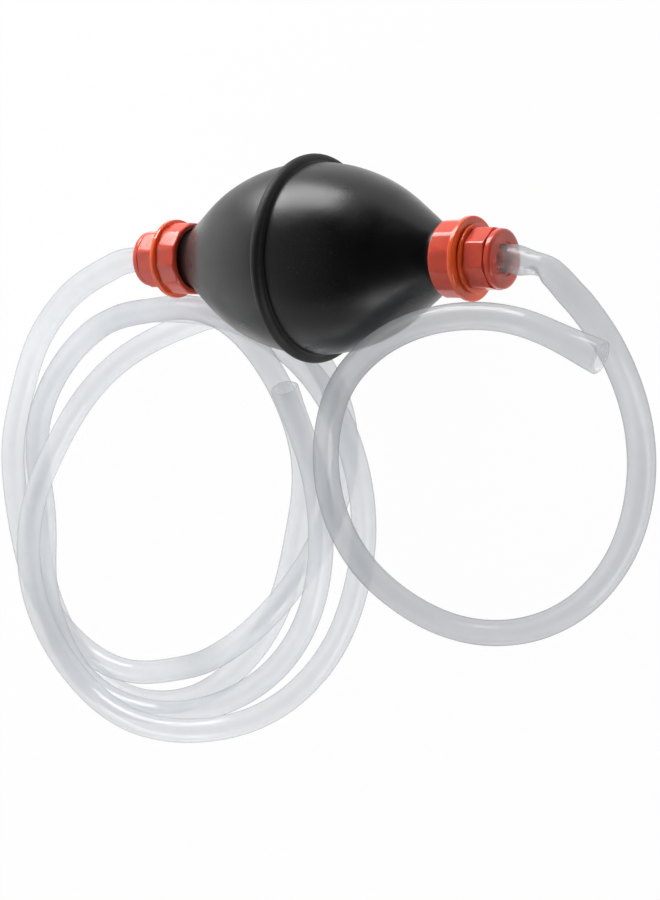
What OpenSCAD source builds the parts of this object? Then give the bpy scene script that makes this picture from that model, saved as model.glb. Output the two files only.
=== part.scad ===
// Squeeze-bulb siphon for draining an aquarium. A rubber bulb in two moulded halves has a fitting with
// a ball check valve at each end, a short hose that sucks and a long hose that drains, both clear.
// Millimetres. The bulb lies with its axis along X, +Z is up, and the origin is on the floor under
// the middle of the bulb. Water runs from the short hose at +X to the long hose at -X.

/* [Bulb] */
// outer radius of the rubber at the middle, beside the seam bead
bulb_r = 43.7; // [39:0.1:48]
// angle between the straight shoulders and the axis
shoulder_angle = 35; // [31:0.5:40]
// length of the rubber from neck end to neck end
bulb_length = 162.5; // [144:0.5:180]
// thickness of the rubber
bulb_wall = 3; // [2:0.1:4]
// outer radius of each neck
neck_r = 14; // [12.5:0.1:15]
// length of neck that shows between the collar and the hollow curve
neck_show = 0.2; // [0.2:0.1:4]
// radius of the hollow curve between shoulder and neck
neck_fillet = 6; // [3:0.5:9]
// width of the seam bead, both halves together
bead_w = 5.8; // [4:0.1:8]
// how far the seam bead stands proud of the belly
bead_proud = 3.8; // [3:0.1:6]

/* [Collar] */
// length of the collar over the neck
collar_len = 11; // [9:0.1:13]
// thickness of the collar at the corners of its flats
collar_wall = 3.3; // [2.5:0.1:5]
// number of flats round the collar
collar_flats = 12; // [8:1:12]
// how much wider the collar's mouth opens towards the bulb
collar_flare = 1.6; // [0.5:0.1:2]
// length of the flare in the collar's mouth
collar_flare_len = 3; // [1:0.1:5]
// how far the collar's corners are rounded off
collar_round = 0.2; // [0.1:0.05:0.4]

/* [Valve body] */
// thickness of the rubber gasket between neck and flange
gasket_t = 1; // [0.5:0.1:2]
// how far the flange stands out past the collar's corners
flange_lip = 1.2; // [0.3:0.1:2]
// thickness of the flange
flange_t = 2.5; // [1.5:0.1:4]
// length of the step between flange and hose nut
step_len = 2; // [1.6:0.1:4]
// depth of the groove between flange and step
step_groove = 1; // [0.5:0.1:3]
// thickness of the spigot's wall inside the neck
spigot_wall = 2.3; // [1.6:0.1:2.6]
// width of the land at the narrow end of the outlet's seat, which sets how deep the spigots reach
seat_land = 1.6; // [1:0.1:4]
// length of the threaded nose that the hose nut screws on
nose_len = 7; // [5.5:0.1:8]
// thickness of the nose round the hose socket
nose_wall = 4.4; // [3.8:0.1:6]
// radius of the waterway through the hose barb
port_r = 3.2; // [2.4:0.1:3.4]
// length of the hose barb beyond the bottom of the hose socket
barb_len = 10.5; // [6:0.5:13]
// how far the barb's ridges stand proud
barb_ridge = 0.15; // [0.05:0.05:0.2]

/* [Check valve] */
// how far the guide ribs reach into the chamber, which leaves room for the ball between them
guide_h = 2.2; // [1.2:0.1:2.6]
// how far a ball lifts off its seat
ball_lift = 3; // [1:0.1:3.2]
// number of ribs that guide a ball, and of fingers that stop it
guide_ribs = 4; // [3:1:6]
// width of a guide rib
rib_w = 1.8; // [1:0.1:2.4]
// thickness of the fingers that stop the inlet ball
finger_t = 1.8; // [1:0.1:2]

/* [Hose] */
// outer diameter of both hoses
hose_od = 12; // [11:0.1:12.2]
// bore of both hoses
hose_id = 9; // [8.8:0.1:9.6]
// length of hose that runs straight out of each nut
hose_straight = 4; // [3.5:0.5:8]
// length of the straight end of the short hose
short_end_len = 20; // [12:1:30]
// length of the straight end of the long hose
long_end_len = 24; // [12:1:30]

/* [Hose nut] */
// length of each hose nut
nut_len = 13.6; // [13.6:0.1:16]
// thickness of the nut's wall at the corners of its flats
nut_wall = 3.6; // [1.8:0.1:4]
// number of flats round the nut
nut_flats = 8; // [6:1:12]
// length of the plain ring at the nut's outer end
nut_ring_len = 4; // [3:0.1:5]
// radius of the nut's rounded outer edge
nut_edge_r = 2.6; // [0.5:0.1:2.8]
// thickness of the nut's end wall
nut_end_wall = 3.4; // [2.4:0.1:4]
// depth of the recess round the hose in the nut's end face
nut_recess = 0.8; // [0.3:0.1:1.5]
// thickness of the split clamp ring round the hose
clamp_wall = 2.7; // [1.8:0.1:3.4]
// length of the clamp ring
clamp_len = 6.6; // [5:0.1:7]
// length of the clamp ring's taper
clamp_taper = 2.6; // [1:0.1:3]
// number of slots in the clamp ring
clamp_slots = 4; // [2:1:6]
// width of a slot in the clamp ring
slot_w = 1; // [0.5:0.1:1.5]

/* [Clearances] */
// radial gap between pieces that are pressed or bonded together
fit = 0.1; // [0.05:0.01:0.2]
// radial gap of the nut's thread on the nose
thread_gap = 0.1; // [0.05:0.01:0.2]
// gap between pieces that move past each other
move_gap = 0.3; // [0.2:0.05:0.5]
// gap between a resting ball and its seat
seat_gap = 0.15; // [0.05:0.05:0.3]

/* [Hidden] */
$fn = 96;
over = 1;
arc_steps = 14;
fillet_steps = 5;
bead_steps = 6;
edge_steps = 5;
tube_sides = 8;
seat_angle = 45;
inlet_collar_turn = -10;
outlet_collar_turn = 18;
inlet_nut_turn = 16;
outlet_nut_turn = 14;

rubber = [0.06, 0.06, 0.065];
orange_red = [0.80, 0.24, 0.16];
white_plastic = [0.86, 0.86, 0.84];
soft_grey = [0.25, 0.25, 0.26];
clear_vinyl = [0.86, 0.89, 0.92, 0.55];

// The bulb's half profile. Distances along the axis are measured outwards from its middle.
// The straight shoulder touches the belly's curve and the hollow curve at the neck, which sets the
// radius of the belly's curve.
axis_z = bulb_r + bead_proud;
neck_end = bulb_length / 2;
fillet_at = neck_end - (collar_len - gasket_t) - neck_show;
fillet_r_at = neck_r + neck_fillet;
belly_curve_r = (fillet_at * sin(shoulder_angle) + (fillet_r_at - bulb_r) * cos(shoulder_angle) - neck_fillet)
    / (1 - cos(shoulder_angle));
belly_centre_r = bulb_r - belly_curve_r;
neck_bore_r = neck_r - bulb_wall;
bead_half = bead_w / 2;

// Where the fitting's pieces sit along the axis.
flange_in = neck_end + gasket_t;
flange_out = flange_in + flange_t;
step_out = flange_out + step_len;
nose_out = step_out + nose_len;
nut_in = step_out + move_gap;
nut_out = nut_in + nut_len;
nut_floor = nut_out - nut_end_wall;
clamp_out = nut_floor - move_gap;
clamp_in = clamp_out - clamp_len;
hose_seat = step_out + 0.5;
hose_out = nut_out + hose_straight;
barb_out = hose_seat + barb_len;
collar_rim = flange_in - collar_len;

// Radii of the fitting's pieces.
collar_bore_r = neck_r + fit;
collar_r = collar_bore_r + collar_wall;
flange_r = collar_r + flange_lip;
spigot_r = neck_bore_r - fit;
chamber_r = spigot_r - spigot_wall;
hose_r = hose_od / 2;
hose_bore_r = hose_id / 2;
barb_r = hose_bore_r - fit - barb_ridge;
socket_r = hose_r + fit;
nose_r = socket_r + nose_wall;
thread_r = nose_r + thread_gap;
nut_r = thread_r + nut_wall;
step_r = nut_r + step_groove;
clamp_bore_r = hose_r + move_gap;
clamp_r = clamp_bore_r + clamp_wall;
clamp_tip_r = clamp_r - clamp_taper * tan(seat_angle) * 0.7;
hose_hole_r = hose_r + move_gap;

// The balls run between the guide ribs. Each seat is a cone, and a ball rests a small gap off it.
insert_r = chamber_r - fit;
guide_r = insert_r - guide_h;
ball_r = guide_r - move_gap;
port_face = step_out - 1.5;
cone_foot = port_face - (chamber_r - port_r) / tan(seat_angle);
ball_reach = (ball_r + seat_gap) / sin(seat_angle);
inlet_ball_at = port_face - (ball_reach - port_r);
stop_face = inlet_ball_at - ball_lift - ball_r - move_gap + ball_r * 0.06;
guide_end = cone_foot - fit;
finger_tip_r = ball_r * 0.35;
outlet_stop_r = (ball_r + move_gap) / sin(seat_angle);
stop_rib_h = 2.2;
outlet_ball_at = port_face - (outlet_stop_r - port_r) - stop_rib_h - ball_lift;
seat_port_at = outlet_ball_at - (ball_reach - port_r);
spigot_in = seat_port_at - seat_land;
seat_rim_at = seat_port_at + (insert_r - port_r) / tan(seat_angle);

// The short hose's loop, after its straight start and before its straight end.
short_end_heading = -22;
short_points = [
    [hose_out, 0, axis_z], [113, -2.5, 47.2], [122, -5.5, 46.2], [130, -14.5, 43], [137, -24, 38],
    [142, -33.5, 33], [144.5, -45, 26], [146.5, -60.5, 17], [146.5, -77, 10], [145.5, -92, 6],
    [143.5, -108, 6], [138, -125.5, 6], [128, -141.5, 6], [113.5, -155.5, 6], [94, -166, 6],
    [73, -171, 6], [53, -171.3, 6], [34.5, -166.8, 8], [19.2, -157, 14], [8.2, -144.5, 22],
    [1.5, -129.3, 29], [-2, -112, 35], [-2, -95, 39], [1, -80, 42], [7.5, -66, 46],
    [19, -54, 53], [33.5, -43.5, 59.5], [51, -33.5, 63], [68.5, -27, 63], [86, -24, 61],
    [103, -24, 58.5], [118, -27, 56], [132.5, -33.5, 54]
];

// The long hose from its straight start down to the coil.
lead_points = [
    [-hose_out, 0, axis_z], [-118, -1.5, 47], [-130.5, -5.5, 45], [-145, -10.5, 42],
    [-162, -18, 37.5], [-180, -29, 31], [-196, -41.5, 25], [-207.5, -57, 21]
];

// The long hose's loose coil: reach from the coil's centre and height, at every coil_step degrees,
// anticlockwise seen from above, a row for each turn.
coil_centre = [-118, -135];
coil_start = 150;
coil_step = 30;
coil_rings_per_step = 3;
long_end_heading = 115.5;
coil_turns = [
    [[114, 19], [100, 19], [94, 18], [88, 10], [73, 6], [70, 18], [77, 20], [91, 8], [119, 6],
        [122, 6], [100, 6], [88, 12]],
    [[82, 18], [80, 31], [78, 41], [88, 37], [98, 33], [106, 15], [110, 6], [115, 6], [125, 18.5],
        [117, 17.5], [109.5, 19.5], [113, 6]],
    [[110, 6], [100, 6], [101, 6], [101, 6], [90, 6], [78, 6], [73, 6], [75.5, 7], [95, 12.5],
        [119.5, 35], [109, 32], [107, 20]],
    [[100, 17], [87, 12.5], [82, 28], [95, 24], [94, 19], [92, 12], [95, 14], [103, 24], [113, 34.5]]
];

// A smooth curve through a list, by place: 0 is its first entry and 1.5 lies between the next two.
function entry(list, i) = list[max(0, min(len(list) - 1, i))];
function curve(a, b, c, d, t) =
    0.5 * (2 * b + (c - a) * t + (2 * a - 5 * b + 4 * c - d) * t * t + (3 * b - a - 3 * c + d) * t * t * t);
function place(list, u) =
    let(i = floor(u))
    curve(entry(list, i - 1), entry(list, i), entry(list, i + 1), entry(list, i + 2), u - i);
function route(list, parts) = [for (k = [0 : (len(list) - 1) * parts]) place(list, k / parts)];
function on_floor(p) = [p.x, p.y, max(p.z, hose_r)];
function unit(v) = v / norm(v);
function heading(a) = [cos(a), sin(a), 0];
function headings(path, first, last) = [
    for (i = [0 : len(path) - 1])
        i == 0 ? first : i == len(path) - 1 ? last : unit(path[i + 1] - path[i - 1])
];
function path_length(path) = len(path) < 2 ? 0
    : [for (i = [1 : len(path) - 1]) norm(path[i] - path[i - 1])] * [for (i = [1 : len(path) - 1]) 1];

coil_stations = [for (turn = coil_turns) each turn];
coil_path = [
    for (k = [0 : (len(coil_stations) - 1) * coil_rings_per_step])
        let(u = k / coil_rings_per_step, s = place(coil_stations, u), a = coil_start + coil_step * u)
        on_floor([coil_centre.x + s[0] * cos(a), coil_centre.y + s[0] * sin(a), s[1]])
];
lead_path = route(concat(lead_points, [coil_path[0]]), 2);
lead_rings = len(lead_path);
long_path = concat(lead_path, [for (i = [1 : len(coil_path) - 1]) coil_path[i]]);
long_headings = headings(long_path, [-1, 0, 0], heading(long_end_heading));
short_path = [for (p = route(short_points, 2)) on_floor(p)];
short_headings = headings(short_path, [1, 0, 0], heading(short_end_heading));
long_end = long_path[len(long_path) - 1];
short_end = short_path[len(short_path) - 1];

// The least gap of the long hose to itself, on points a quarter of a ring apart, past near neighbours.
fine_path = [
    for (i = [0 : len(long_path) - 2], t = [0 : 3]) long_path[i] + (long_path[i + 1] - long_path[i]) * t / 4
];
near_points = 12;
fine_last = len(fine_path) - 1;
least_gap = min([
    for (i = [0 : fine_last - near_points])
        min([for (j = [i + near_points : fine_last]) norm(fine_path[i] - fine_path[j])])
]) - hose_od;
hose_in_nut = hose_out - hose_seat;
echo(least_gap_of_long_hose = least_gap);
echo(long_hose_length = hose_in_nut + path_length(long_path) + long_end_len);
echo(short_hose_length = hose_in_nut + path_length(short_path) + short_end_len);

// Pieces of a fitting are drawn along +Z from the bulb's middle, then laid on the bulb's axis.
module at_inlet() {
    translate([0, 0, axis_z]) rotate([0, 90, 0]) children();
}

module at_outlet() {
    translate([0, 0, axis_z]) rotate([0, -90, 0]) children();
}

module turned(profile) {
    rotate_extrude() polygon(profile);
}

module ring(inner_r, outer_r, from, to) {
    turned([[inner_r, from], [outer_r, from], [outer_r, to], [inner_r, to]]);
}

// Points of an arc in a turned profile, from angle a to angle b off the radius, towards the bulb's end.
function arc(centre_r, centre_s, r, a, b, steps) = [
    for (k = [0 : steps])
        let(t = a + (b - a) * k / steps)
        [centre_r + r * cos(t), centre_s + r * sin(t)]
];

// One moulded half of the bulb with its half of the bead. The halves are bonded face to face.
module bulb_half() {
    belly_start = asin(bead_half / belly_curve_r);
    outside = concat(
        arc(axis_z - bead_half, 0, bead_half, 0, 90, bead_steps),
        arc(belly_centre_r, 0, belly_curve_r, belly_start, shoulder_angle, arc_steps),
        arc(fillet_r_at, fillet_at, -neck_fillet, shoulder_angle, 0, fillet_steps),
        [[neck_r, neck_end]]
    );
    inside = concat(
        [[neck_bore_r, neck_end]],
        arc(fillet_r_at, fillet_at, -neck_fillet - bulb_wall, 0, shoulder_angle, fillet_steps),
        arc(belly_centre_r, 0, belly_curve_r - bulb_wall, shoulder_angle, 0, arc_steps)
    );
    turned(concat(outside, inside));
}

// A faceted cup over the neck, whose mouth opens towards the bulb.
module collar() {
    rounded_r = collar_r - collar_round;
    edge = collar_wall / 4;
    difference() {
        intersection() {
            translate([0, 0, collar_rim]) cylinder(h = collar_len, r = collar_r, $fn = collar_flats);
            turned([
                [0, collar_rim], [rounded_r - edge, collar_rim], [rounded_r, collar_rim + edge],
                [rounded_r, flange_in], [0, flange_in]
            ]);
        }
        turned([
            [0, collar_rim - over],
            [collar_bore_r + collar_flare * (1 + over / collar_flare_len), collar_rim - over],
            [collar_bore_r, collar_rim + collar_flare_len],
            [collar_bore_r, flange_in + over],
            [0, flange_in + over]
        ]);
    }
}

module gasket() {
    ring(spigot_r + fit, neck_r, neck_end, flange_in);
}

// Flange, spigot, waterway, hose socket, barb and threaded nose in one moulding.
module valve_body() {
    flange_edge = flange_t / 5;
    groove_len = step_len / 3;
    mouth_r = clamp_r + move_gap;
    mouth_in = clamp_in + clamp_taper - move_gap;
    tip_r = clamp_tip_r + move_gap;
    tip_in = clamp_in - move_gap;
    ridge_at = [hose_seat + barb_len * 0.45, hose_seat + barb_len * 0.75];
    ridge_len = barb_len / 8;
    turned(concat(
        [
            [chamber_r, spigot_in], [spigot_r, spigot_in], [spigot_r, flange_in],
            [flange_r - flange_edge, flange_in], [flange_r, flange_in + flange_edge],
            [flange_r, flange_out - flange_edge], [flange_r - flange_edge, flange_out],
            [nut_r, flange_out], [nut_r, flange_out + groove_len],
            [step_r, flange_out + groove_len], [step_r, step_out], [nose_r, step_out],
            [nose_r, nose_out], [mouth_r, nose_out], [mouth_r, mouth_in], [tip_r, tip_in],
            [socket_r, tip_in], [socket_r, hose_seat], [barb_r, hose_seat]
        ],
        [
            for (at = ridge_at)
                each [[barb_r, at], [barb_r + barb_ridge, at], [barb_r, at + ridge_len]]
        ],
        [[barb_r, barb_out], [port_r, barb_out], [port_r, port_face], [chamber_r, cone_foot]]
    ));
}

// Ribs that hold the open outlet ball off the waterway, so that water passes between them.
module stop_ribs() {
    stop_at = outlet_ball_at + ball_lift;
    intersection() {
        turned([
            [port_r, port_face - stop_rib_h],
            [chamber_r + fit, cone_foot - stop_rib_h - fit], [chamber_r + fit, cone_foot + fit],
            [port_r, port_face + fit]
        ]);
        for (k = [0 : guide_ribs - 1]) {
            rotate(360 / guide_ribs * k) translate([port_r, -rib_w / 2, stop_at])
                cube([chamber_r, rib_w, port_face - stop_at + fit]);
        }
    }
}

// Ribs along the chamber that keep a ball on the axis.
module guides(from, to) {
    intersection() {
        ring(guide_r, insert_r, from, to);
        for (k = [0 : guide_ribs - 1]) {
            rotate(360 / guide_ribs * (k + 0.5)) translate([0, -rib_w / 2, from])
                cube([chamber_r, rib_w, to - from]);
        }
    }
}

// A ring in the inlet's spigot, with guides and with fingers that stop the open ball.
module cage() {
    ring(guide_r, insert_r, spigot_in, stop_face);
    guides(stop_face - over, guide_end);
    intersection() {
        ring(finger_tip_r, guide_r + over / 2, stop_face - finger_t, stop_face);
        for (k = [0 : guide_ribs - 1]) {
            rotate(360 / guide_ribs * (k + 0.5)) translate([0, -rib_w / 2, stop_face - finger_t])
                cube([chamber_r, rib_w, finger_t]);
        }
    }
}

// A ring in the outlet's spigot with a conical seat, and guides for the ball.
module seat() {
    turned([
        [port_r, spigot_in], [insert_r, spigot_in], [insert_r, seat_rim_at], [port_r, seat_port_at]
    ]);
    guides(seat_port_at + (guide_r - port_r), guide_end - stop_rib_h);
}

module ball(at) {
    translate([0, 0, at]) sphere(r = ball_r);
}

// A tapered ring with slots that closes on the hose as the nut pushes it into the nose.
module clamp_ring() {
    slot_len = clamp_len * 0.6;
    difference() {
        turned([
            [clamp_bore_r, clamp_in], [clamp_tip_r, clamp_in], [clamp_r, clamp_in + clamp_taper],
            [clamp_r, clamp_out], [clamp_bore_r, clamp_out]
        ]);
        for (k = [0 : clamp_slots - 1]) {
            rotate(360 / clamp_slots * k) translate([0, -slot_w / 2, clamp_in - over])
                cube([clamp_r + over, slot_w, slot_len + over]);
        }
    }
}

// The nut has flats, a groove, and a plain ring with a rounded edge round the hose.
module hose_nut() {
    ring_in = nut_out - nut_ring_len;
    groove = nut_ring_len / 6;
    rounded_r = nut_r - collar_round;
    ring_r = nut_r * cos(180 / nut_flats);
    recess_r = hose_hole_r + nut_recess * 1.5;
    difference() {
        union() {
            intersection() {
                translate([0, 0, nut_in]) cylinder(h = ring_in - nut_in, r = nut_r, $fn = nut_flats);
                ring(0, rounded_r, nut_in, ring_in);
            }
            turned(concat(
                [[0, ring_in], [ring_r - groove, ring_in], [ring_r - groove, ring_in + groove]],
                [[ring_r, ring_in + groove]],
                arc(ring_r - nut_edge_r, nut_out - nut_edge_r, nut_edge_r, 0, 90, edge_steps),
                [[0, nut_out]]
            ));
        }
        turned([
            [0, nut_in - over], [thread_r, nut_in - over], [thread_r, nose_out + move_gap],
            [clamp_r + move_gap, nose_out + move_gap + thread_r - clamp_r - move_gap],
            [clamp_r + move_gap, nut_floor], [hose_hole_r, nut_floor],
            [hose_hole_r, nut_out - nut_recess], [recess_r, nut_out - nut_recess],
            [recess_r, nut_out + over], [0, nut_out + over]
        ]);
    }
}

// The hose's start on the barb, and a straight hose end at a point with a heading.
module hose_start() {
    ring(hose_bore_r, hose_r, hose_seat, hose_out);
}

module hose_end(from, angle, len) {
    translate(from) rotate([0, 90, angle]) ring(hose_bore_r, hose_r, 0, len);
}

// A hollow tube with a ring of points round each point of a path, square to its heading.
module tube(path, ways) {
    rings = len(path);
    inner = rings * tube_sides;
    points = [
        for (r = [hose_r, hose_bore_r], i = [0 : rings - 1], k = [0 : tube_sides - 1])
            let(
                side = unit(cross([0, 0, 1], ways[i])), up = cross(ways[i], side),
                a = 360 / tube_sides * k
            )
            path[i] + r * (cos(a) * side + sin(a) * up)
    ];
    function at(i, k) = i * tube_sides + k % tube_sides;
    walls = [
        for (i = [0 : rings - 2], k = [0 : tube_sides - 1])
            each [
                [at(i, k), at(i + 1, k), at(i + 1, k + 1)],
                [at(i, k), at(i + 1, k + 1), at(i, k + 1)],
                [inner + at(i, k), inner + at(i + 1, k + 1), inner + at(i + 1, k)],
                [inner + at(i, k), inner + at(i, k + 1), inner + at(i + 1, k + 1)]
            ]
    ];
    ends = [
        for (k = [0 : tube_sides - 1])
            each [
                [at(0, k), at(0, k + 1), inner + at(0, k + 1)],
                [at(0, k), inner + at(0, k + 1), inner + at(0, k)],
                [at(rings - 1, k), inner + at(rings - 1, k + 1), at(rings - 1, k + 1)],
                [at(rings - 1, k), inner + at(rings - 1, k), inner + at(rings - 1, k + 1)]
            ]
    ];
    polyhedron(points, concat(walls, ends));
}

function part_of(list, from, to) = [for (i = [from : to]) list[i]];

module bulb_inlet_half() {
    color(rubber) at_inlet() bulb_half();
}

module bulb_outlet_half() {
    color(rubber) at_outlet() bulb_half();
}

module inlet_collar() {
    color(orange_red) at_inlet() rotate(inlet_collar_turn) collar();
}

module inlet_gasket() {
    color(soft_grey) at_inlet() gasket();
}

module inlet_body() {
    color(orange_red) at_inlet() valve_body();
}

module inlet_cage() {
    color(white_plastic) at_inlet() cage();
}

module inlet_ball() {
    color(white_plastic) at_inlet() ball(inlet_ball_at);
}

module inlet_clamp_ring() {
    color(white_plastic) at_inlet() clamp_ring();
}

module inlet_nut() {
    color(orange_red) at_inlet() rotate(inlet_nut_turn) hose_nut();
}

module outlet_collar() {
    color(orange_red) at_outlet() rotate(outlet_collar_turn) collar();
}

module outlet_gasket() {
    color(soft_grey) at_outlet() gasket();
}

module outlet_body() {
    color(orange_red) at_outlet() {
        valve_body();
        stop_ribs();
    }
}

module outlet_seat() {
    color(white_plastic) at_outlet() seat();
}

module outlet_ball() {
    color(white_plastic) at_outlet() ball(outlet_ball_at);
}

module outlet_clamp_ring() {
    color(white_plastic) at_outlet() clamp_ring();
}

module outlet_nut() {
    color(orange_red) at_outlet() rotate(outlet_nut_turn) hose_nut();
}

module short_hose_start() {
    color(clear_vinyl) at_inlet() hose_start();
}

module short_hose_loop() {
    color(clear_vinyl) tube(short_path, short_headings);
}

module short_hose_end() {
    color(clear_vinyl) hose_end(short_end, short_end_heading, short_end_len);
}

module long_hose_start() {
    color(clear_vinyl) at_outlet() hose_start();
}

module long_hose_lead() {
    last = lead_rings - 1;
    color(clear_vinyl) tube(part_of(long_path, 0, last), part_of(long_headings, 0, last));
}

module long_hose_coil() {
    first = lead_rings - 1;
    last = len(long_path) - 1;
    color(clear_vinyl) tube(part_of(long_path, first, last), part_of(long_headings, first, last));
}

module long_hose_end() {
    color(clear_vinyl) hose_end(long_end, long_end_heading, long_end_len);
}

bulb_inlet_half();
bulb_outlet_half();
inlet_collar();
inlet_gasket();
inlet_body();
inlet_cage();
inlet_ball();
inlet_clamp_ring();
inlet_nut();
outlet_collar();
outlet_gasket();
outlet_body();
outlet_seat();
outlet_ball();
outlet_clamp_ring();
outlet_nut();
short_hose_start();
short_hose_loop();
short_hose_end();
long_hose_start();
long_hose_lead();
long_hose_coil();
long_hose_end();
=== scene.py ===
"""Dresses a squeeze-bulb siphon: a rubber bulb, a screw fitting at each end, and two clear hoses.

All sizes are in metres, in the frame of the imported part. The bulb's axis is X, and Z is up.
"""

import math

import bmesh
import bpy
import numpy as np
from bpy.props import FloatProperty, FloatVectorProperty, IntProperty, PointerProperty
from bpy.types import Operator, Panel, PropertyGroup
from mathutils import Matrix, Vector


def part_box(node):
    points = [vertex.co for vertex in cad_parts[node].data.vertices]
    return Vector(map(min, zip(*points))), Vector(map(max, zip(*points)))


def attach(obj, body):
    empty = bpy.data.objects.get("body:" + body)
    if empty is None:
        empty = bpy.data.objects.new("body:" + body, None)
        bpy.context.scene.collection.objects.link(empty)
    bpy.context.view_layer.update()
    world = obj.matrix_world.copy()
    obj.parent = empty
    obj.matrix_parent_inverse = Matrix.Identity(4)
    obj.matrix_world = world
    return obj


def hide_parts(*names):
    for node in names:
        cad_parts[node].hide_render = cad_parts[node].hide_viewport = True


bl_info = {
    "name": "Squeeze-bulb siphon",
    "version": (1, 0, 0),
    "blender": (4, 5, 0),
    "location": "3D View > Sidebar > Siphon",
    "description": "Rubber bulb, screw fittings and clear hoses of an aquarium siphon",
    "category": "Add Mesh",
}

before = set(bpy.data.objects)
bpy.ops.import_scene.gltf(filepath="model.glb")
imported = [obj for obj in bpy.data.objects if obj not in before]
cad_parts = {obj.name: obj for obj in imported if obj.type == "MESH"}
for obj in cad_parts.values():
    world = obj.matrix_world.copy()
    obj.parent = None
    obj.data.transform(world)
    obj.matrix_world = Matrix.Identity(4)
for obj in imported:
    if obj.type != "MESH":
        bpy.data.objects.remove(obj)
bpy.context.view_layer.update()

MM = 0.001
BULB_LOW, BULB_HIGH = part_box("bulb_inlet_half")
AXIS_HEIGHT = (BULB_LOW.z + BULB_HIGH.z) / 2

# The hoses' routes, in millimetres, as the part's source has them.
SHORT_POINTS = [
    (104.65, 0, 47.5), (113, -2.5, 47.2), (122, -5.5, 46.2), (130, -14.5, 43), (137, -24, 38),
    (142, -33.5, 33), (144.5, -45, 26), (146.5, -60.5, 17), (146.5, -77, 10), (145.5, -92, 6),
    (143.5, -108, 6), (138, -125.5, 6), (128, -141.5, 6), (113.5, -155.5, 6), (94, -166, 6),
    (73, -171, 6), (53, -171.3, 6), (34.5, -166.8, 8), (19.2, -157, 14), (8.2, -144.5, 22),
    (1.5, -129.3, 29), (-2, -112, 35), (-2, -95, 39), (1, -80, 42), (7.5, -66, 46),
    (19, -54, 53), (33.5, -43.5, 59.5), (51, -33.5, 63), (68.5, -27, 63), (86, -24, 61),
    (103, -24, 58.5), (118, -27, 56), (132.5, -33.5, 54),
]
LEAD_POINTS = [
    (-104.65, 0, 47.5), (-118, -1.5, 47), (-130.5, -5.5, 45), (-145, -10.5, 42),
    (-162, -18, 37.5), (-180, -29, 31), (-196, -41.5, 25), (-207.5, -57, 21),
]

# The coil, in the same unit: stations of reach and height, one at each step in degrees round its centre.
COIL_CENTRE = (-118, -135)
COIL_START = 150
COIL_STEP = 30
COIL_STATIONS = [
    (114, 19), (100, 19), (94, 18), (88, 10), (73, 6), (70, 18), (77, 20), (91, 8), (119, 6),
    (122, 6), (100, 6), (88, 12),
    (82, 18), (80, 31), (78, 41), (88, 37), (98, 33), (106, 15), (110, 6), (115, 6), (125, 18.5),
    (117, 17.5), (109.5, 19.5), (113, 6),
    (110, 6), (100, 6), (101, 6), (101, 6), (90, 6), (78, 6), (73, 6), (75.5, 7), (95, 12.5),
    (119.5, 35), (109, 32), (107, 20),
    (100, 17), (87, 12.5), (82, 28), (95, 24), (94, 19), (92, 12), (95, 14), (103, 24), (113, 34.5),
]

# Headings of the open ends, in degrees from X.
SHORT_END_HEADING = -22
LONG_END_HEADING = 115.5

# Open ends: their rounding, the stretch that leans with a slanted cut, and the side that is cut back.
HOSE_EDGE = 0.0003
CUT_RUN = 0.012
CUT_SIDE = np.array((0.53, 0.25, 0.81))

# The fold at a kink: how far round the hose it sits, in radians, and how sharp it is.
FOLD_TURN = 0.35
FOLD_SHARPNESS = 4

# Mouldings: the gap of pressed pieces, the usual roundings, and what is turned off the tips between flats.
FIT = 0.0001
FINE, SOFT, FULL = 0.0002, 0.0003, 0.0004
TIP_TRIM = 0.0002

# Valve bodies: how deep the port lies, and the ridges of the barb, from the hose's seat.
PORT_DEPTH = 0.0015
RIDGES_AT = (0.0047, 0.0079)
RIDGE_LENGTH = 0.0013
RIDGE_PROUD = 0.00015

# The angle between the foot of the seam bead and the first point of the belly's curve.
BEAD_FOOT_TURN = 0.004

WASHER_COLOUR = (0.03, 0.03, 0.03)


class BulbSettings(PropertyGroup):
    """Sizes and colour of the rubber bulb."""

    radius: FloatProperty(
        name="Radius", description="Rubber beside the bead", default=0.0437, unit="LENGTH"
    )
    length: FloatProperty(
        name="Length", description="Neck end to neck end", default=0.1625, unit="LENGTH"
    )
    shoulder: FloatProperty(
        name="Shoulder", description="Angle of the straight shoulders",
        default=math.radians(35), subtype="ANGLE",
    )
    wall: FloatProperty(
        name="Wall", description="Thickness of the rubber", default=0.003, unit="LENGTH"
    )
    neck_radius: FloatProperty(
        name="Neck radius", description="Outside of a neck", default=0.014, unit="LENGTH"
    )
    neck_length: FloatProperty(
        name="Neck length", description="Straight part of a neck", default=0.0102, unit="LENGTH"
    )
    fillet: FloatProperty(
        name="Fillet", description="Curve from shoulder to neck", default=0.006, unit="LENGTH"
    )
    bead_width: FloatProperty(
        name="Bead width", description="Seam bead, both halves", default=0.0058, unit="LENGTH"
    )
    bead_proud: FloatProperty(
        name="Bead height", description="Bead above the rubber", default=0.0038, unit="LENGTH"
    )
    colour: FloatVectorProperty(
        name="Rubber", description="Colour of the rubber", default=(0.0020, 0.0020, 0.0022), subtype="COLOR"
    )


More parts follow.
